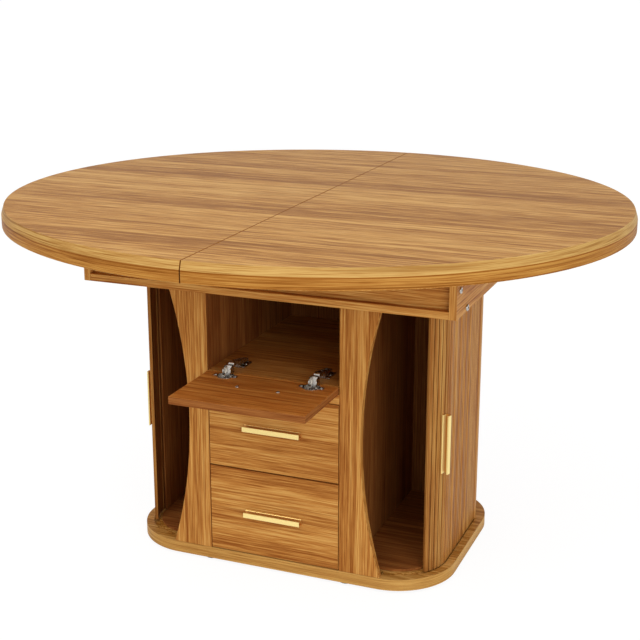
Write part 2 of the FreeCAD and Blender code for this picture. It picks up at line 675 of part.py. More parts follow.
# Every object computed and every node a valid shape, then one file for each node
doc.recompute()
for thing in doc.Objects:
    if {"Invalid", "Error"} & set(thing.State):
        raise RuntimeError(f"{thing.Label} did not compute: {thing.State}")
os.makedirs("parts", exist_ok=True)
for node in nodes:
    if node.Shape.isNull() or not node.Shape.isValid():
        raise RuntimeError(f"{node.Label} has no valid shape")
for node in nodes:
    node.Shape.exportStep(f"parts/{node.Label}.step")
print(f"{len(nodes)} nodes written")
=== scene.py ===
# %% [markdown]
# # A kitchen table with a storage cabinet
# An oval top in two halves stands on a cabinet with two drawers, a drop flap and two sliding corner doors.
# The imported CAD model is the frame: every board is already in its place, in metres, and moves with its body.
# This script dresses that frame. It eases the edges, cuts the fine lines of the slatted doors, makes the small
# hardware and gives each surface its finish.

# %% Load the frame
import json
from math import atan2, copysign, cos, pi, radians, sin

import bmesh
import bpy
from mathutils import Matrix, Vector


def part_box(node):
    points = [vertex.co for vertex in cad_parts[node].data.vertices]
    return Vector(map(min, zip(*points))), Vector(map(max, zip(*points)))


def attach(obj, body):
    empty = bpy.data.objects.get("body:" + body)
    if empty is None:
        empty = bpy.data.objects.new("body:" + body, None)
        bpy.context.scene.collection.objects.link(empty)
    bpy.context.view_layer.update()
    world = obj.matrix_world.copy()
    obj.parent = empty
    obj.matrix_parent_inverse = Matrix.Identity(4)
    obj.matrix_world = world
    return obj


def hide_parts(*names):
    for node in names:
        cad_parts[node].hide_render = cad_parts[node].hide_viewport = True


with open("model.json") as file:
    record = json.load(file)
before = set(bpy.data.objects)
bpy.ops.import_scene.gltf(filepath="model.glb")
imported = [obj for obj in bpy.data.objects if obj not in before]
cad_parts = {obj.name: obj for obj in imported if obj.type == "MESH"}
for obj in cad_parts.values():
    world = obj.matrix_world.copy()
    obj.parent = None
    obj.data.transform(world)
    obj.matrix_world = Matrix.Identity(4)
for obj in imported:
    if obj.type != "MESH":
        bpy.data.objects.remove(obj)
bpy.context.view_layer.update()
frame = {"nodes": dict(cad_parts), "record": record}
MM = 0.001
body_of = {node: body for body, nodes in frame["record"]["behaviour"]["bodies"].items() for node in nodes}

# %% [markdown]
# ## Camera
# The view is from the front right, a little above the top, through a long lens. A camera can be set by eye, but
# here its place was worked out from the outline of the top, the tray and the base, so the numbers are fixed. The
# small shift puts the table where it stands in the picture.

# %% Camera
IMAGE_SIZE = 640
FOCAL_PIXELS = 1298.6
AIM_PIXEL = (316.93, 310.67)
SENSOR_WIDTH = 36
CAMERA_PLACE = Vector((1009.8, -2501.0, 1282.8)) * MM
AIM_POINT = Vector((0, 0, 507.86)) * MM

camera_data = bpy.data.cameras.new("Camera")
camera_data.sensor_width = SENSOR_WIDTH
camera_data.lens = FOCAL_PIXELS * SENSOR_WIDTH / IMAGE_SIZE
camera_data.shift_x = (IMAGE_SIZE / 2 - AIM_PIXEL[0]) / IMAGE_SIZE
camera_data.shift_y = (AIM_PIXEL[1] - IMAGE_SIZE / 2) / IMAGE_SIZE
camera = bpy.data.objects.new("Camera", camera_data)
camera.location = CAMERA_PLACE
camera.rotation_euler = (AIM_POINT - CAMERA_PLACE).to_track_quat("-Z", "Y").to_euler()
bpy.context.scene.collection.objects.link(camera)
bpy.context.scene.camera = camera
print("lens", round(camera_data.lens, 2), "mm")

# %% [markdown]
# ## Nodes and colours
# Finishes are built from shader nodes. One function turns a hex colour, as a paint chart gives it, into the linear
# numbers that the shader works with. Another adds a node, sets it up and links it, which keeps the finishes short.

# %% Node and colour helpers
def linear(hex_code):
    channels = [int(hex_code[i:i + 2], 16) / 255 for i in (1, 3, 5)]
    return [c / 12.92 if c <= 0.04045 else ((c + 0.055) / 1.055) ** 2.4 for c in channels] + [1.0]


def add(tree, kind, inputs=None, **settings):
    node = tree.nodes.new(kind)
    for name, value in settings.items():
        setattr(node, name, value)
    for socket, value in (inputs or {}).items():
        if isinstance(value, bpy.types.NodeSocket):
            tree.links.new(value, node.inputs[socket])
        else:
            node.inputs[socket].default_value = value
    return node


def new_finish(name, **sockets):
    finish = bpy.data.materials.new(name)
    finish.use_nodes = True
    shader = finish.node_tree.nodes["Principled BSDF"]
    for socket, value in sockets.items():
        shader.inputs[socket.replace("_", " ")].default_value = value
    return finish, finish.node_tree, shader


print("white is", linear("#FFFFFF"))

# %% [markdown]
# ## Studio
# The table stands on plain white paper under soft light. Most of the light comes evenly from the room, which a
# white world gives. Two large soft lamps, one above and in front and one at the right, add a little direction.
# The paper looks white to the camera and in reflections, and still takes the table's shadow.

# %% Studio
scene = bpy.context.scene
scene.view_settings.view_transform = "Standard"
WORLD_LEVEL = 0.72
WHITE = (1, 1, 1, 1)
PAPER_SHADE = (0.93, 0.93, 0.93, 1)
PAPER_ROUGHNESS = 0.9
PAPER_GLOW = 0.86
PAPER_WHITE = 1.06  # makes up for the share of the glow that the paper's own shade takes
PAPER_HALF = 30
LAMPS = {  # name: place and width in metres, power in watts
    "Key": ((-0.3, -1.9, 2.8), 2.2, 34),
    "Fill": ((2.4, -2.6, 1.3), 1.8, 32),
}
LAMP_AIM = Vector((0, 0, 0.45))


def seen_directly(tree):
    path = add(tree, "ShaderNodeLightPath")
    either = add(tree, "ShaderNodeMath", {0: path.outputs["Is Camera Ray"], 1: path.outputs["Is Glossy Ray"]},
                 operation="MAXIMUM")
    return add(tree, "ShaderNodeMath", {0: either.outputs[0], 1: path.outputs["Is Transmission Ray"]},
               operation="MAXIMUM").outputs[0]


world = bpy.data.worlds.new("Soft room")
scene.world = world
world.use_nodes = True
tree = world.node_tree
level = add(tree, "ShaderNodeMapRange", {"Value": seen_directly(tree), "To Min": WORLD_LEVEL, "To Max": 1.0})
background = tree.nodes["Background"]
background.inputs["Color"].default_value = WHITE
tree.links.new(level.outputs[0], background.inputs["Strength"])

paper, tree, shader = new_finish("White paper", Base_Color=PAPER_SHADE, Roughness=PAPER_ROUGHNESS)
glow = add(tree, "ShaderNodeEmission", {"Color": WHITE, "Strength": PAPER_WHITE})
share = add(tree, "ShaderNodeMath", {0: seen_directly(tree), 1: PAPER_GLOW}, operation="MULTIPLY")
mixed = add(tree, "ShaderNodeMixShader", {0: share.outputs[0], 1: shader.outputs[0], 2: glow.outputs[0]})
tree.links.new(mixed.outputs[0], tree.nodes["Material Output"].inputs["Surface"])

paper_shape = bmesh.new()
bmesh.ops.create_grid(paper_shape, x_segments=1, y_segments=1, size=PAPER_HALF)
paper_mesh = bpy.data.meshes.new("Floor")
paper_shape.to_mesh(paper_mesh)
paper_shape.free()
paper_mesh.materials.append(paper)
floor = bpy.data.objects.new("Floor", paper_mesh)
scene.collection.objects.link(floor)

for name, (place, width, power) in LAMPS.items():
    lamp_data = bpy.data.lights.new(name, "AREA")
    lamp_data.size = width
    lamp_data.energy = power
    lamp = bpy.data.objects.new(name, lamp_data)
    lamp.location = place
    lamp.rotation_euler = (LAMP_AIM - lamp.location).to_track_quat("-Z", "Y").to_euler()
    scene.collection.objects.link(lamp)
print("paper and", len(LAMPS), "lamps")

# %% [markdown]
# ## Wood-grain boards
# The boards are particle board under a printed teak-look laminate with a satin lacquer. Real teak shows broad
# tone bands, streaks a centimetre wide and over half a metre long, a few dark figure lines, and fine pores. Each
# of these is one noise pattern that is stretched along the grain. The sizes below are the real lengths and widths
# of the marks, apart from the pores. The grain runs along X, Y or Z of the object, or along the edge of a board
# through its own UV map.

# %% Teak laminate
TONES = {
    "face": ("#885417", "#B27B36", "#CE9E58"),
    "front": ("#8A4E1D", "#B87C3A", "#D2A058"),
    "edge": ("#78430F", "#A46B2C", "#BC8942"),
    # painted highlight: the slopes get a lighter tone for the light they catch
    "chamfer": ("#8D5F27", "#B28547", "#C6A05E"),
    "glue": ("#74400F", "#885018", "#9A6024"),
    "base": ("#9A672E", "#C2924D", "#D8AE65"),
    "stile": ("#7C4519", "#A66F34", "#C09250"),
    "flap": ("#94501C", "#C27A34", "#DAA052"),
    # painted shade: a darker tone for the inside of the cabinet, the drawers and the doors, and for the flap's
    # edges
    "inner": ("#6F3716", "#8C5427", "#A96D37"),
    # painted shade: the dark tone of the doors' cut lines, also used for the seam between the top's halves
    "line": ("#4A270F", "#5E3616", "#70441E"),
}
# A smaller spread gives stronger marks
SPREADS = {"face": 0.064, "edge": 0.085, "chamfer": 0.09, "front": 0.10}
USUAL_SPREAD = 0.11
SHEENS = {"face": 0.045, "line": 0.0}  # the board in a cut line has no lacquer; the dark tone there is painted shade
USUAL_SHEEN = 0.04
MARKS = {  # length and width of a mark in metres, detail, share in the tone
    "band": (1.8, 0.048, 2.0, 0.28),
    "streak": (0.60, 0.0085, 3.0, 0.24),
    "pore": (0.09, 0.0021, 3.0, 0.48),  # real pores are 0.3 mm wide; wider here so that they show
}
MARK_ROUGHNESS = 0.6
MIDDLE = 0.5  # the middle of a noise pattern
TURNS = {"X": (0, 0, 0), "Y": (0, 0, -pi / 2), "Z": (0, pi / 2, 0), "edge": (0, 0, 0)}
EDGE_FINENESS = 0.5  # marks on a narrow edge band are finer
SEED_STEP = (0.37, 1.13, 0.71)
FIGURE_LINE = (0.42, 0.0050)  # length and width of a dark line
FIGURE_SHIFT = (3.1, 5.7, 2.3)
FIGURE_START, FIGURE_FULL, FIGURE_SHARE = 0.58, 0.68, 0.5
WANDER = (0.50, 0.060, 0.006)  # length and width of a bend of the grain, and how far it goes aside
LACQUER, PORE_LACQUER = 0.50, 0.38  # roughness between the pores and on them
PORE_DEPTH, PORE_STRENGTH = 0.4 * MM, 0.12
teak_boards = {}


def teak(grain, tone, seed):
    key = (grain, tone, seed)
    if key in teak_boards:
        return teak_boards[key]
    dark, middle, light = TONES[tone]
    finish, tree, shader = new_finish(f"Teak laminate {tone} {grain} {seed}",
                                      Specular_IOR_Level=SHEENS.get(tone, USUAL_SHEEN))
    place = add(tree, "ShaderNodeTexCoord").outputs["UV" if grain == "edge" else "Object"]
    turned = add(tree, "ShaderNodeMapping", {"Vector": place, "Rotation": TURNS[grain],
                                             "Location": [step * seed for step in SEED_STEP]})
    length, width, reach = WANDER
    slow = add(tree, "ShaderNodeMapping", {"Vector": turned.outputs[0],
                                           "Scale": (1 / length, 1 / width, 1 / width)})
    drift = add(tree, "ShaderNodeTexNoise", {"Vector": slow.outputs[0], "Scale": 1.0, "Detail": 1.0})
    centred = add(tree, "ShaderNodeVectorMath", {0: drift.outputs["Color"], 1: (MIDDLE, MIDDLE, MIDDLE)},
                  operation="SUBTRACT")
    bent = add(tree, "ShaderNodeVectorMath", {0: centred.outputs[0], 1: (0, reach, reach),
                                              2: turned.outputs[0]}, operation="MULTIPLY_ADD")
    total = 0.0
    fineness = EDGE_FINENESS if grain == "edge" else 1
    for length, width, detail, part in MARKS.values():
        width *= fineness
        drawn = add(tree, "ShaderNodeMapping", {"Vector": bent.outputs[0],
                                                "Scale": (1 / length, 1 / width, 1 / width)})
        mark = add(tree, "ShaderNodeTexNoise", {"Vector": drawn.outputs[0], "Scale": 1.0, "Detail": detail,
                                                "Roughness": MARK_ROUGHNESS}).outputs["Fac"]
        total = add(tree, "ShaderNodeMath", {0: mark, 1: part, 2: total}, operation="MULTIPLY_ADD").outputs[0]
    pores = mark  # the last of the marks
    ramp = add(tree, "ShaderNodeValToRGB", {"Fac": total})
    stops = ramp.color_ramp.elements
    spread = SPREADS.get(tone, USUAL_SPREAD)
    stops[0].position, stops[0].color = MIDDLE - spread, linear(dark)
    stops[1].position, stops[1].color = MIDDLE + spread, linear(light)
    stops.new(MIDDLE).color = linear(middle)
    length, width = FIGURE_LINE
    drawn = add(tree, "ShaderNodeMapping", {"Vector": bent.outputs[0], "Location": FIGURE_SHIFT,
                                            "Scale": (1 / length, 1 / width, 1 / width)})
    figure = add(tree, "ShaderNodeTexNoise", {"Vector": drawn.outputs[0], "Scale": 1.0, "Detail": 1.0})
    line = add(tree, "ShaderNodeMapRange", {"Value": figure.outputs["Fac"], "From Min": FIGURE_START,
                                            "From Max": FIGURE_FULL, "To Max": FIGURE_SHARE})
    colour = add(tree, "ShaderNodeMix", {0: line.outputs[0], 6: ramp.outputs["Color"], 7: linear(dark)},
                 data_type="RGBA")
    tree.links.new(colour.outputs[2], shader.inputs["Base Color"])
    gloss = add(tree, "ShaderNodeMapRange", {"Value": pores, "To Min": LACQUER, "To Max": PORE_LACQUER})
    tree.links.new(gloss.outputs[0], shader.inputs["Roughness"])
    relief = add(tree, "ShaderNodeBump", {"Height": pores, "Strength": PORE_STRENGTH, "Distance": PORE_DEPTH})
    tree.links.new(relief.outputs[0], shader.inputs["Normal"])
    teak_boards[key] = finish
    return finish


print("teak marks:", ", ".join(MARKS))

# %% [markdown]
# ## Metal and plastic
# The handles are gold-plated zinc. The plating is satin on the outside and bright on a rubbed lip, with a fine
# grain in its gloss; inside the channel it is painted a browner, duller gold, as painted shade. The hinges, runners
# and bolts are zinc-plated steel, a bright metal with a faint cloud. The feet are matt black moulded polypropylene
# with a fine spark-eroded grain.

# %% Gold, zinc and plastic
PLATE_GRAIN = 1.1 * MM  # coarser than the real grain, so that it shows
CLOUD = 6 * MM
GRIT = 0.5 * MM
GRIT_DEPTH = 0.1 * MM


def gold_plate(name, hex_code, metallic, smoothest, roughest):
    finish, tree, shader = new_finish(name, Base_Color=linear(hex_code), Metallic=metallic)
    grain = add(tree, "ShaderNodeTexNoise", {"Vector": add(tree, "ShaderNodeTexCoord").outputs["Object"],
                                             "Scale": 1 / PLATE_GRAIN, "Detail": 2.0})
    gloss = add(tree, "ShaderNodeMapRange", {"Value": grain.outputs["Fac"], "To Min": smoothest,
                                             "To Max": roughest})
    tree.links.new(gloss.outputs[0], shader.inputs["Roughness"])
    return finish


gold = gold_plate("Satin gold plate", "#FAE294", 0.4, 0.36, 0.48)
bright_gold = gold_plate("Bright gold plate", "#FFE090", 1.0, 0.16, 0.24)
# painted shade: a browner, duller gold for the faces inside the handle's channel
channel_shade_gold = gold_plate("Gold plate with painted channel shade", "#C8883C", 0.4, 0.40, 0.52)

zinc, tree, shader = new_finish("Zinc-plated steel", Base_Color=linear("#B4AFA8"), Metallic=1.0)
cloud = add(tree, "ShaderNodeTexNoise", {"Vector": add(tree, "ShaderNodeTexCoord").outputs["Object"],
                                         "Scale": 1 / CLOUD, "Detail": 3.0})
gloss = add(tree, "ShaderNodeMapRange", {"Value": cloud.outputs["Fac"], "To Min": 0.16, "To Max": 0.36})
tree.links.new(gloss.outputs[0], shader.inputs["Roughness"])

plastic, tree, shader = new_finish("Moulded polypropylene", Base_Color=linear("#1E1B18"), Roughness=0.55)
grit = add(tree, "ShaderNodeTexNoise", {"Vector": add(tree, "ShaderNodeTexCoord").outputs["Object"],
                                        "Scale": 1 / GRIT, "Detail": 2.0})
relief = add(tree, "ShaderNodeBump", {"Height": grit.outputs["Fac"], "Strength": 0.3, "Distance": GRIT_DEPTH})
tree.links.new(relief.outputs[0], shader.inputs["Normal"])
print("finishes:", ", ".join(finish.name for finish in (gold, bright_gold, channel_shade_gold, zinc, plastic)))

# %% [markdown]
# ## Eased boards
# A cut board has a banded edge that is rubbed down a little, so it catches a thin line of light. The CAD boards
# have knife edges. Each board is copied, its loose triangles are merged back into whole faces, and its long edges
# get a bevel under a millimetre wide. Small drilled holes keep their edges.

# %% Board helpers
TOUCHING = 0.001 * MM
FLAT = radians(0.3)
EASE = 0.8 * MM
SMALLEST_EDGE = 4.5 * MM
SHARP = radians(30)
CREASE = radians(12)
ROUND_CREASE = radians(40)


def merged(node):
    shape = bmesh.new()
    shape.from_mesh(frame["nodes"][node].data)
    bmesh.ops.remove_doubles(shape, verts=shape.verts, dist=TOUCHING)
    bmesh.ops.dissolve_limit(shape, angle_limit=FLAT, verts=shape.verts, edges=shape.edges)
    return shape


def ease(shape, width=EASE, shortest=SMALLEST_EDGE):
    edges = [edge for edge in shape.edges if len(edge.link_faces) == 2 and edge.calc_length() > shortest
             and edge.calc_face_angle() > SHARP]
    bmesh.ops.bevel(shape, geom=edges, offset=width, offset_type="OFFSET", affect="EDGES", segments=2,
                    profile=0.5, material=-1, clamp_overlap=True)


def show(shape, name, finishes, node, replaced=(), crease=CREASE):
    mesh = bpy.data.meshes.new(name)
    used = sorted({face.material_index for face in shape.faces})
    for face in shape.faces:
        face.material_index = used.index(face.material_index)
    shape.to_mesh(mesh)
    shape.free()
    mesh.shade_smooth()
    mesh.set_sharp_from_angle(angle=crease)
    for index in used:
        mesh.materials.append(finishes[index])
    piece = bpy.data.objects.new(name, mesh)
    scene.collection.objects.link(piece)
    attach(piece, body_of[node])
    if replaced:
        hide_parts(*replaced)
    return piece

print("edges are eased by", EASE / MM, "mm")

# %% [markdown]
# The boards come next. Each has its grain along its longer side and a pattern of its own. The inside faces of a
# board, and the whole boards within the cabinet and the drawers, are painted darker: painted shade for the shade
# that falls there. A board's sawn ends have a band with the grain along the end.

# %% Boards of the cabinet, the tray and the drawers
BOARDS = {  # node: direction of the grain, tone, seed of the pattern
    "tray_floor": ("X", "front", 1), "apron_front": ("X", "front", 2), "apron_back": ("X", "front", 3),
    "apron_end_left": ("Y", "front", 4), "apron_end_right": ("Y", "front", 5),
    "post_left": ("Z", "front", 6), "post_right": ("Z", "front", 7),
    "divider_left": ("Z", "inner", 8), "divider_right": ("Z", "inner", 9),
    "back_panel": ("Z", "front", 10), "back_corner_left": ("Z", "front", 11),
    "back_corner_right": ("Z", "front", 12), "side_liner_left": ("Z", "inner", 13),
    "side_liner_right": ("Z", "inner", 14), "floor_left": ("X", "inner", 15), "floor_right": ("X", "inner", 16),
    "shelf": ("X", "front", 17), "shelf_rail": ("X", "front", 18), "flap_panel": ("X", "flap", 19),
    "lower_drawer_front": ("X", "front", 20), "upper_drawer_front": ("X", "front", 21),
}
for word in ("lower", "upper"):
    for board, grain in (("side_left", "Y"), ("side_right", "Y"), ("back", "X"), ("floor", "X")):
        BOARDS[f"{word}_drawer_{board}"] = (grain, "inner", len(BOARDS) + 1)

OUTSIDE, SHADED_FACE, END = range(3)
SHADE_FACING = {  # direction of the face that gets painted shade: the inside of a board, or the front edge of the flap
    "post_left": (1, 0, 0), "post_right": (-1, 0, 0), "back_panel": (0, -1, 0),
    "back_corner_left": (1, -1, 0), "back_corner_right": (-1, -1, 0), "flap_panel": (0, -1, 0),
}
END_TONES = {"flap_panel": "inner"}  # the flap's ends get painted shade; the other boards have ends of their own tone
FLAT_ON, END_ON = 0.5, 0.9


# gives the faces that look along the direction the darker tone of painted shade
def paint_shade_facing(shape, direction):
    for face in shape.faces:
        if face.normal.dot(Vector(direction).normalized()) > FLAT_ON:
            face.material_index = SHADED_FACE


def band_ends(shape, node, grain):
    """Give the sawn ends a band with the grain along their longer side, and return that direction."""
    low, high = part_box(node)
    across = "XYZ".index(grain)
    for face in shape.faces:
        if abs(face.normal[across]) > END_ON:
            face.material_index = END
    return max("XYZ".replace(grain, ""), key=lambda axis: (high - low)["XYZ".index(axis)])


for node, (grain, tone, seed) in BOARDS.items():
    shape = merged(node)
    ease(shape)
    paint_shade_facing(shape, SHADE_FACING.get(node, (0, 0, 0)))
    band = band_ends(shape, node, grain)
    finishes = {OUTSIDE: teak(grain, tone, seed), SHADED_FACE: teak(grain, "inner", seed),
                END: teak(band, END_TONES.get(node, tone), seed)}
    show(shape, f"{node}_board", finishes, node, [node])
print(len(BOARDS), "boards eased")

# %% [markdown]
# ## Top and base with banded edges
# The top and the base have a band of the same laminate round their edge, so the grain there runs along the edge
# and not across it. The faces of the edge get a finish of their own, with a UV map that is unrolled round the
# board: its length goes along the edge and its width goes up and in. The oval top is unrolled by its angle, and
# the base by the length of its straight sides and round corners. The slopes above the edges catch light, and they
# are also given a lighter tone, a painted highlight. A thin dark glue line parts the top's slope from its edge.
# The grain of the face runs on from one half to the other, and the eased edges of the seam between them are dark.

# %% Top halves
FACE, EDGE, SLOPE, GLUE, SEAM = range(5)
GLUE_LINE = 2.2 * MM
LEVEL, UPRIGHT, SEAM_FACING = 0.992, 0.15, 0.2
SEAM_REACH = 2 * MM
BASE_CORNER = 131 * MM
CHAMFER_DROP = 16.5 * MM
TOP_SEED = 31  # one pattern for both halves, so the grain runs on across the seam
EDGE_SEEDS = {"left": 31, "right": 32}


def round_oval(x, y, half_x, half_y):
    middle = (half_x + half_y) / 2
    return middle * atan2(y / half_y, abs(x) / half_x), middle * (1 - Vector((x / half_x, y / half_y)).length)


def round_base(x, y, half_x, half_y):
    straight_x, straight_y = half_x - BASE_CORNER, half_y - BASE_CORNER
    turn = atan2(max(abs(x) - straight_x, 0), max(abs(y) - straight_y, 0))
    run = min(abs(x), straight_x) + BASE_CORNER * turn + straight_y - min(abs(y), straight_y)
    return copysign(run, x), 0


def band_edge(shape, half_x, half_y, unrolled, glue_top=None):
    if glue_top:
        for height in (glue_top, glue_top - GLUE_LINE):
            bmesh.ops.bisect_plane(shape, geom=shape.verts[:] + shape.edges[:] + shape.faces[:],
                                   plane_co=(0, 0, height), plane_no=(0, 0, 1), dist=TOUCHING)
    layer = shape.loops.layers.uv.new("Edge")
    for face in shape.faces:
        centre = face.calc_center_median()
        if abs(face.normal.x) > SEAM_FACING and abs(centre.x) < SEAM_REACH:
            face.material_index = GLUE if face.normal.z > UPRIGHT else SEAM
            continue
        if abs(face.normal.z) < UPRIGHT:
            face.material_index = GLUE if glue_top and glue_top - GLUE_LINE < centre.z < glue_top else EDGE
        elif 0 < face.normal.z < LEVEL:
            face.material_index = SLOPE
        for loop in face.loops:
            x, y, z = loop.vert.co
            along, inset = unrolled(x, y, half_x, half_y)
            loop[layer].uv = (along, z - inset)


for word, seed in EDGE_SEEDS.items():
    node = f"tabletop_{word}"
    shape = merged(node)
    low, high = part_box(node)
    ease(shape)
    band_edge(shape, max(-low.x, high.x), high.y, round_oval, high.z - CHAMFER_DROP)
    finishes = {FACE: teak("X", "face", TOP_SEED), EDGE: teak("edge", "edge", seed),
                SLOPE: teak("edge", "chamfer", seed), GLUE: teak("edge", "glue", seed),
                SEAM: teak("Y", "line", seed)}
    show(shape, f"{node}_board", finishes, node, [node])

# %% [markdown]
# The doors run in a groove in the base, which shows as a dark line along their foot. The groove is a small
# rectangle that is drawn along the side, spun round the corner and drawn on behind the post. A boolean then takes
# it out of the base plate.

# %% Base plate with the door track
CORNER = Vector((232, -113, 0)) * MM
DOOR_RADIUS = 105 * MM
SIDE_RUN = 219 * MM
TRACK_PLAY = 2 * MM
TRACK_WIDTH, TRACK_DEPTH = 11 * MM, 5 * MM
TRACK_END = 165 * MM
BEND_STEPS = 24
BASE_SEED = 33


def face_of(made):
    return [part for part in made if isinstance(part, bmesh.types.BMFace)][-1]


def drawn_on(shape, face, step):
    made = bmesh.ops.extrude_face_region(shape, geom=[face])["geom"]
    bmesh.ops.translate(shape, verts=[part for part in made if isinstance(part, bmesh.types.BMVert)], vec=step)
    return face_of(made)


def door_track(side, top):
    shape = bmesh.new()
    bmesh.ops.create_grid(shape, x_segments=1, y_segments=1, size=0.5)
    bmesh.ops.rotate(shape, verts=shape.verts, matrix=Matrix.Rotation(pi / 2, 3, "X"))
    bmesh.ops.scale(shape, verts=shape.verts, vec=(TRACK_WIDTH, 1, 2 * TRACK_DEPTH))
    middle = CORNER.x + DOOR_RADIUS + TRACK_PLAY - TRACK_WIDTH / 2
    bmesh.ops.translate(shape, verts=shape.verts, vec=(middle, CORNER.y + SIDE_RUN, top))
    end = drawn_on(shape, next(iter(shape.faces)), (0, -SIDE_RUN, 0))
    spun = bmesh.ops.spin(shape, geom=[end] + end.edges[:] + end.verts[:], cent=CORNER, axis=(0, 0, 1),
                          angle=-pi / 2, steps=BEND_STEPS, use_merge=False)
    drawn_on(shape, face_of(spun["geom_last"]), (TRACK_END - CORNER.x, 0, 0))
    bmesh.ops.scale(shape, verts=shape.verts, vec=(side, 1, 1))
    bmesh.ops.remove_doubles(shape, verts=shape.verts, dist=TOUCHING)
    bmesh.ops.recalc_face_normals(shape, faces=shape.faces)
    mesh = bpy.data.meshes.new("Track")
    shape.to_mesh(mesh)
    shape.free()
    cutter = bpy.data.objects.new("Track", mesh)
    scene.collection.objects.link(cutter)
    return cutter


low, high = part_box("base_plate")
shape = merged("base_plate")
ease(shape)
band_edge(shape, high.x, high.y, round_base)
finishes = {FACE: teak("X", "face", BASE_SEED), EDGE: teak("edge", "base", BASE_SEED),
            SLOPE: teak("edge", "chamfer", BASE_SEED)}
base = show(shape, "base_plate_board", finishes, "base_plate", ["base_plate"])
cutters = [door_track(side, high.z) for side in (1, -1)]
for cutter in cutters:
    groove = base.modifiers.new("Track", "BOOLEAN")
    groove.object, groove.operation, groove.solver = cutter, "DIFFERENCE", "EXACT"
bpy.context.view_layer.update()
grooved = bpy.data.meshes.new_from_object(base.evaluated_get(bpy.context.evaluated_depsgraph_get()))
base.modifiers.clear()
base.data = grooved
for cutter in cutters:
    bpy.data.objects.remove(cutter)
print("base plate with", len(grooved.polygons), "faces")

# %% [markdown]
# ## Slatted doors
# Each corner door is a row of slats on a cloth back. The CAD model has wide slats; the real ones are about 11 mm
# wide, with a fine V line between them. The lines could be a bump pattern, but a cut line also shows in the
# outline and under raking light. Each line is made with three cuts side by side, and the middle one is pushed in.
# The faces of each cut are painted dark, as painted shade in the groove, and the back of the slats is painted
# darker as painted shade too.

# %% Door slats
PATH_RADIUS = 101.5 * MM
LINE_WIDTH, LINE_DEPTH = 1.8 * MM, 1.4 * MM
STRIP = 10.5 * MM
SLAT_EASE = 0.5 * MM
OUTER_SKIN = 2 * MM
GROOVE_SHADE = 2
SLAT, BEND_SLAT, STILE, FLATS = 34.5 * MM, 17.5 * MM, 56 * MM, 4
HANDLE_SETBACK = 45 * MM
FURTHER_OPEN = {"right": 0, "left": BEND_SLAT}


def on_door(along, side):
    if along < 0:
        point, out, forward = Vector((CORNER.x + DOOR_RADIUS, CORNER.y - along, 0)), (1, 0), (0, -1)
    else:
        turn = along / PATH_RADIUS
        out, forward = (cos(turn), -sin(turn)), (-sin(turn), -cos(turn))
        point = Vector((CORNER.x + DOOR_RADIUS * out[0], CORNER.y + DOOR_RADIUS * out[1], 0))
    mirror = Matrix.Diagonal((side, 1, 1))
    return mirror @ point, mirror @ Vector((*out, 0)), mirror @ Vector((*forward, 0))


# the faces of each cut get the dark tone of painted shade
def cut_lines(shape, start, end, strips, side):
    for number in range(1, strips):
        point, out, forward = on_door(start + (end - start) * number / strips, side)
        for offset in (-LINE_WIDTH / 2, LINE_WIDTH / 2, 0):
            cut = bmesh.ops.bisect_plane(shape, geom=shape.verts[:] + shape.edges[:] + shape.faces[:],
                                         plane_co=point + forward * offset, plane_no=forward, dist=TOUCHING)
        ridge = [v for v in cut["geom_cut"] if isinstance(v, bmesh.types.BMVert)
                 and (v.co - point).dot(out) > -OUTER_SKIN]
        bmesh.ops.translate(shape, verts=ridge, vec=-out * LINE_DEPTH)
        for face in {face for vert in ridge for face in vert.link_faces}:
            face.normal_update()
            if abs(face.normal.z) < FLAT_ON:
                face.material_index = GROOVE_SHADE


# the back of each slat gets the darker tone of painted shade
for word, side, seed in (("right", 1, 41), ("left", -1, 51)):
    widths = {f"door_stile_{word}": STILE, f"door_slat_{word}_bend": BEND_SLAT}
    widths.update({f"door_slat_{word}_{number}": SLAT for number in range(1, FLATS + 1)})
    end = STILE + BEND_SLAT - FURTHER_OPEN[word]
    widths[f"door_tail_{word}"] = SIDE_RUN + end - sum(widths.values())
    for node, width in widths.items():
        shape = merged(node)
        ease(shape, SLAT_EASE)
        paint_shade_facing(shape, -on_door(end - width / 2, side)[1])
        cut_lines(shape, end - width, end, round(width / STRIP), side)
        tone = "stile" if width == STILE else "front"
        finishes = {OUTSIDE: teak("Z", tone, seed), SHADED_FACE: teak("Z", "inner", seed),
                    GROOVE_SHADE: teak("Z", "line", seed)}
        show(shape, f"{node}_slats", finishes, node, [node])
        end -= width
        seed += 1
print("doors cut into strips of about", round(STRIP / MM, 1), "mm")

# %% [markdown]
# ## Handles
# Each handle is a channel of bent gold-plated metal: a strip on the board, a web and a bar in front, with room for
# the fingers behind the bar. The bend between the web and the bar is round, and the other edges are only rubbed
# down. The bend is the long edge that lies farthest out and farthest to the side of the web. The lip of the strip
# stands a little beyond the bar, and its front edge is round, so it catches a line of light. The bar is satin, the
# channel behind it is painted a browner, duller gold as painted shade, and the lip is bright. On the doors the
# strip is satin too.

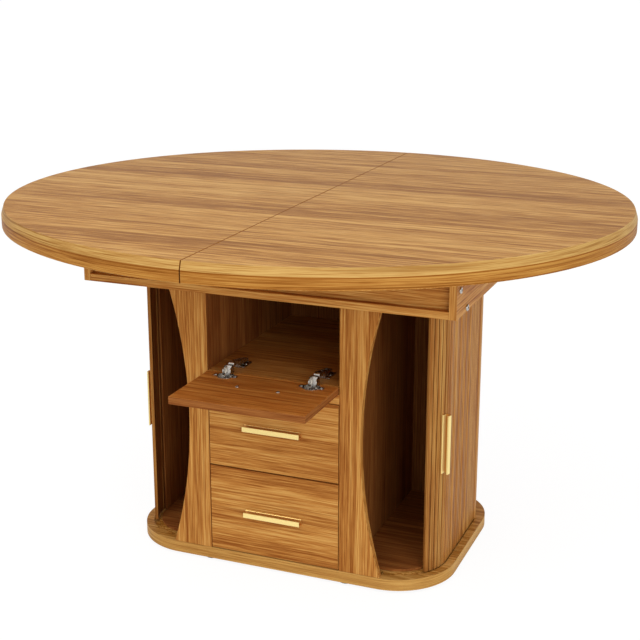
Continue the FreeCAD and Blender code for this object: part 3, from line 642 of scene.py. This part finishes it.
# %% Handles
BEND_RADIUS, LIP_RADIUS = 2.4 * MM, 1.5 * MM
ROUND_STEPS = 6
METAL_EASE, SHORTEST_EASED = 0.4 * MM, 1 * MM
LIP_FIRST = 10  # weight that finds the lip before the bar
BAR_THICK, BAR_HEIGHT = 2.6 * MM, 11.2 * MM
SATIN, BRIGHT, CHANNEL_SHADE = range(3)
LONG_EDGE = 100 * MM
UP, FRONT = Vector((0, 0, 1)), Vector((0, -1, 0))
HANDLES = {  # node: outward, towards the web, finish of the strip, finish of its lip
    "flap_handle": (-UP, -FRONT, CHANNEL_SHADE, BRIGHT),
    "lower_drawer_handle": (FRONT, -UP, CHANNEL_SHADE, BRIGHT),
    "upper_drawer_handle": (FRONT, -UP, CHANNEL_SHADE, BRIGHT),
}
for word, side in (("right", 1), ("left", -1)):
    point, out, forward = on_door(BEND_SLAT - FURTHER_OPEN[word] + STILE - HANDLE_SETBACK, side)
    HANDLES[f"door_handle_{word}"] = (out, -forward, SATIN, SATIN)


def round_off(shape, edges, radius):
    bmesh.ops.bevel(shape, geom=edges, offset=radius, offset_type="OFFSET", affect="EDGES", segments=ROUND_STEPS,
                    profile=0.5, material=-1)


def reach(edge, direction):
    return (edge.verts[0].co + edge.verts[1].co).dot(direction)


for node, (outward, webward, strip, lip) in HANDLES.items():
    shape = merged(node)
    for direction, radius in ((outward + webward, BEND_RADIUS), (outward - LIP_FIRST * webward, LIP_RADIUS)):
        bend = max((edge for edge in shape.edges if edge.calc_length() > LONG_EDGE),
                   key=lambda edge: reach(edge, direction))
        round_off(shape, [bend], radius)
    ease(shape, METAL_EASE, SHORTEST_EASED)
    front = max(vert.co.dot(outward) for vert in shape.verts)
    foot = max(vert.co.dot(webward) for vert in shape.verts)
    for face in shape.faces:
        centre = face.calc_center_median()
        if front - centre.dot(outward) < BAR_THICK and face.normal.dot(outward) > -FLAT_ON:
            face.material_index = SATIN
        elif foot - centre.dot(webward) > BAR_HEIGHT:
            face.material_index = lip
        else:
            face.material_index = strip if face.normal.dot(outward) > FLAT_ON else CHANNEL_SHADE
    show(shape, f"{node}_channel", [gold, bright_gold, channel_shade_gold], node, [node])
print(len(HANDLES), "handles")

# %% [markdown]
# ## Feet and steel fittings
# The feet are small moulded glides with a rounded rim. The hinge plates and drawer runners are pressed steel, so
# their edges are a little round too. The long plates of the hinge cups end in half circles, their two ears slope
# down to the front, and a bent strap joins the ears. The arms slope down to the back.

# %% Feet and steel fittings
GLIDE_RIM = 1.2 * MM
shape = merged("base_feet")
ease(shape, GLIDE_RIM, 0)
show(shape, "base_glides", [plastic], "base_feet", ["base_feet"], ROUND_CREASE)

HINGE = 94  # millimetres from the middle
WING_END, WING_RADIUS, WING_THICK = 20 * MM, 5.5 * MM, 1 * MM
EAR_TOP, EAR_MIDDLE, EAR_RADIUS = 446 * MM, -250 * MM, 12 * MM
STRAP_SIZE = Vector((16.4, 1.6, 15.4)) * MM
STRAP_Y, STRAP_Z = -248, 438.6
STRAP_LEAN, STRAP_TOP = 6 * MM, 444 * MM
ARM_TOP, ARM_NOSE, ARM_BACK = 451 * MM, -230 * MM, -166 * MM
ARM_FALL, ARM_LENGTH, NOSE_RADIUS = 12 * MM, 70 * MM, 6 * MM
SHORTEST_PRESSED = 0.8 * MM

for node in ("flap_hinge_cups", "flap_hinge_arms", "runner_rails", "lower_drawer_slides", "upper_drawer_slides",
             "top_fixings"):
    shape = merged(node)
    if node == "flap_hinge_cups":
        ends = [edge for edge in shape.edges if abs(edge.verts[0].co.z - edge.verts[1].co.z) > WING_THICK
                and all(abs(abs(vert.co.x) - HINGE * MM) > WING_END for vert in edge.verts)]
        round_off(shape, ends, WING_RADIUS)
        round_off(shape, [edge for edge in shape.edges if all(
            vert.co.z > EAR_TOP and vert.co.y < EAR_MIDDLE for vert in edge.verts)], EAR_RADIUS)
        for side in (1, -1):
            strap = bmesh.ops.create_cube(shape, size=1)["verts"]
            bmesh.ops.scale(shape, verts=strap, vec=STRAP_SIZE)
            bmesh.ops.translate(shape, verts=strap, vec=Vector((side * HINGE, STRAP_Y, STRAP_Z)) * MM)
            bmesh.ops.translate(shape, verts=[vert for vert in strap if vert.co.z > STRAP_TOP],
                                vec=(0, STRAP_LEAN, 0))
    if node == "flap_hinge_arms":
        round_off(shape, [edge for edge in shape.edges if all(
            vert.co.z > ARM_TOP and vert.co.y < ARM_NOSE for vert in edge.verts)], NOSE_RADIUS)
        bmesh.ops.translate(shape, verts=[vert for vert in shape.verts if vert.co.z > ARM_TOP
                                          and vert.co.y > ARM_BACK], vec=(0, 0, -ARM_FALL))
    ease(shape, METAL_EASE, SHORTEST_PRESSED)
    show(shape, f"{node}_steel", [zinc], node, [node], ROUND_CREASE)
print("steel fittings ready")

# %% [markdown]
# ## Bolts and screws
# The tray's bolts have button heads with a hexagon socket. The screws of the flap's handle and of the hinges have
# low round heads with a cross. Each head is a stack of rings that are bridged into a skin: the outer rings make
# the dome, and the last two make the socket. A cross is a ring of eight corners with every second one drawn in.

# %% Bolt and screw heads
def add_head(shape, rings, place, drawn_in=1.0):
    loops = []
    for radius, height, corners in rings:
        loop = bmesh.ops.create_circle(shape, segments=corners, radius=radius * MM,
                                       matrix=Matrix.Translation((0, 0, height * MM)))["verts"]
        if len(loops) >= len(rings) - 2:
            bmesh.ops.scale(shape, verts=loop[::2], vec=(drawn_in, drawn_in, 1))
        loops.append(loop)
    rims = [list({edge for vert in loop for edge in vert.link_edges}) for loop in loops]
    for lower, upper in zip(rims, rims[1:]):
        bmesh.ops.bridge_loops(shape, edges=lower + upper)
    for rim in (rims[0], rims[-1]):
        bmesh.ops.contextual_create(shape, geom=rim)
    bmesh.ops.transform(shape, matrix=place, verts=[vert for loop in loops for vert in loop])


def show_heads(shape, name, node, replaced=()):
    bmesh.ops.recalc_face_normals(shape, faces=shape.faces)
    show(shape, name, [zinc], node, replaced, ROUND_CREASE)


# Radius and height of each ring in millimetres, and its corners
BUTTON = [(6.5, 0, 24), (6.5, 1.6, 24), (6.0, 2.4, 24), (5.2, 2.9, 24), (4.2, 3.0, 24), (2.9, 3.0, 6),
          (2.8, 1.0, 6)]
PAN = [(4.0, 0, 20), (3.9, 0.5, 20), (3.5, 1.0, 20), (2.8, 1.4, 20), (2.0, 1.5, 8), (1.7, 0.7, 8)]
LOW = [(3.4, 0, 20), (3.2, 0.5, 20), (2.6, 0.8, 20), (1.8, 0.9, 8), (1.5, 0.3, 8)]
CROSS = 0.42
BOLT_X = 394
BOLTS = ((273.5, 662), (-273.5, 662), (225, 616.5), (-225, 616.5))  # Y and Z in millimetres
SHANK_LENGTH, SHANK_RADIUS = 46, 3

shape = bmesh.new()
for side in (1, -1):
    for y, z in BOLTS:
        turn = Matrix.Rotation(side * pi / 2, 4, "Y")
        add_head(shape, BUTTON, Matrix.Translation(Vector((side * BOLT_X, y, z)) * MM) @ turn)
        shank = Matrix.Translation(Vector((side * (BOLT_X - SHANK_LENGTH / 2), y, z)) * MM) @ turn
        bmesh.ops.create_cone(shape, cap_ends=True, segments=16, radius1=SHANK_RADIUS * MM,
                              radius2=SHANK_RADIUS * MM, depth=SHANK_LENGTH * MM, matrix=shank)
show_heads(shape, "apron_bolt_heads", "apron_bolts", ["apron_bolts"])

HEADS = {  # name: node whose body carries them, node they stand for, form, places in millimetres
    "flap_handle_screw_heads": ("flap_handle_screws", ["flap_handle_screws"], PAN, [(44, -312, 430)]),
    "hinge_cup_screws": ("flap_hinge_cups", [], LOW, [(HINGE - 21, -262, 431.2), (HINGE + 21, -262, 431.2)]),
    "hinge_arm_screws": ("flap_hinge_arms", [], LOW,
                         [(HINGE - 10.5, -184.6, 433), (HINGE + 10.5, -184.6, 433)]),
    "hinge_adjusting_screws": ("flap_hinge_arms", [], LOW, [(HINGE, -212, 448.1), (HINGE, -180, 442.6)]),
}
TILTS = {"hinge_adjusting_screws": -atan2(ARM_FALL, ARM_LENGTH)}
for name, (node, replaced, rings, places) in HEADS.items():
    shape = bmesh.new()
    tilt = Matrix.Rotation(TILTS.get(name, 0), 4, "X")
    for x, y, z in places:
        for side in (1, -1):
            add_head(shape, rings, Matrix.Translation(Vector((side * x, y, z)) * MM) @ tilt, CROSS)
    show_heads(shape, name, node, replaced)
print("heads:", ", ".join(HEADS))
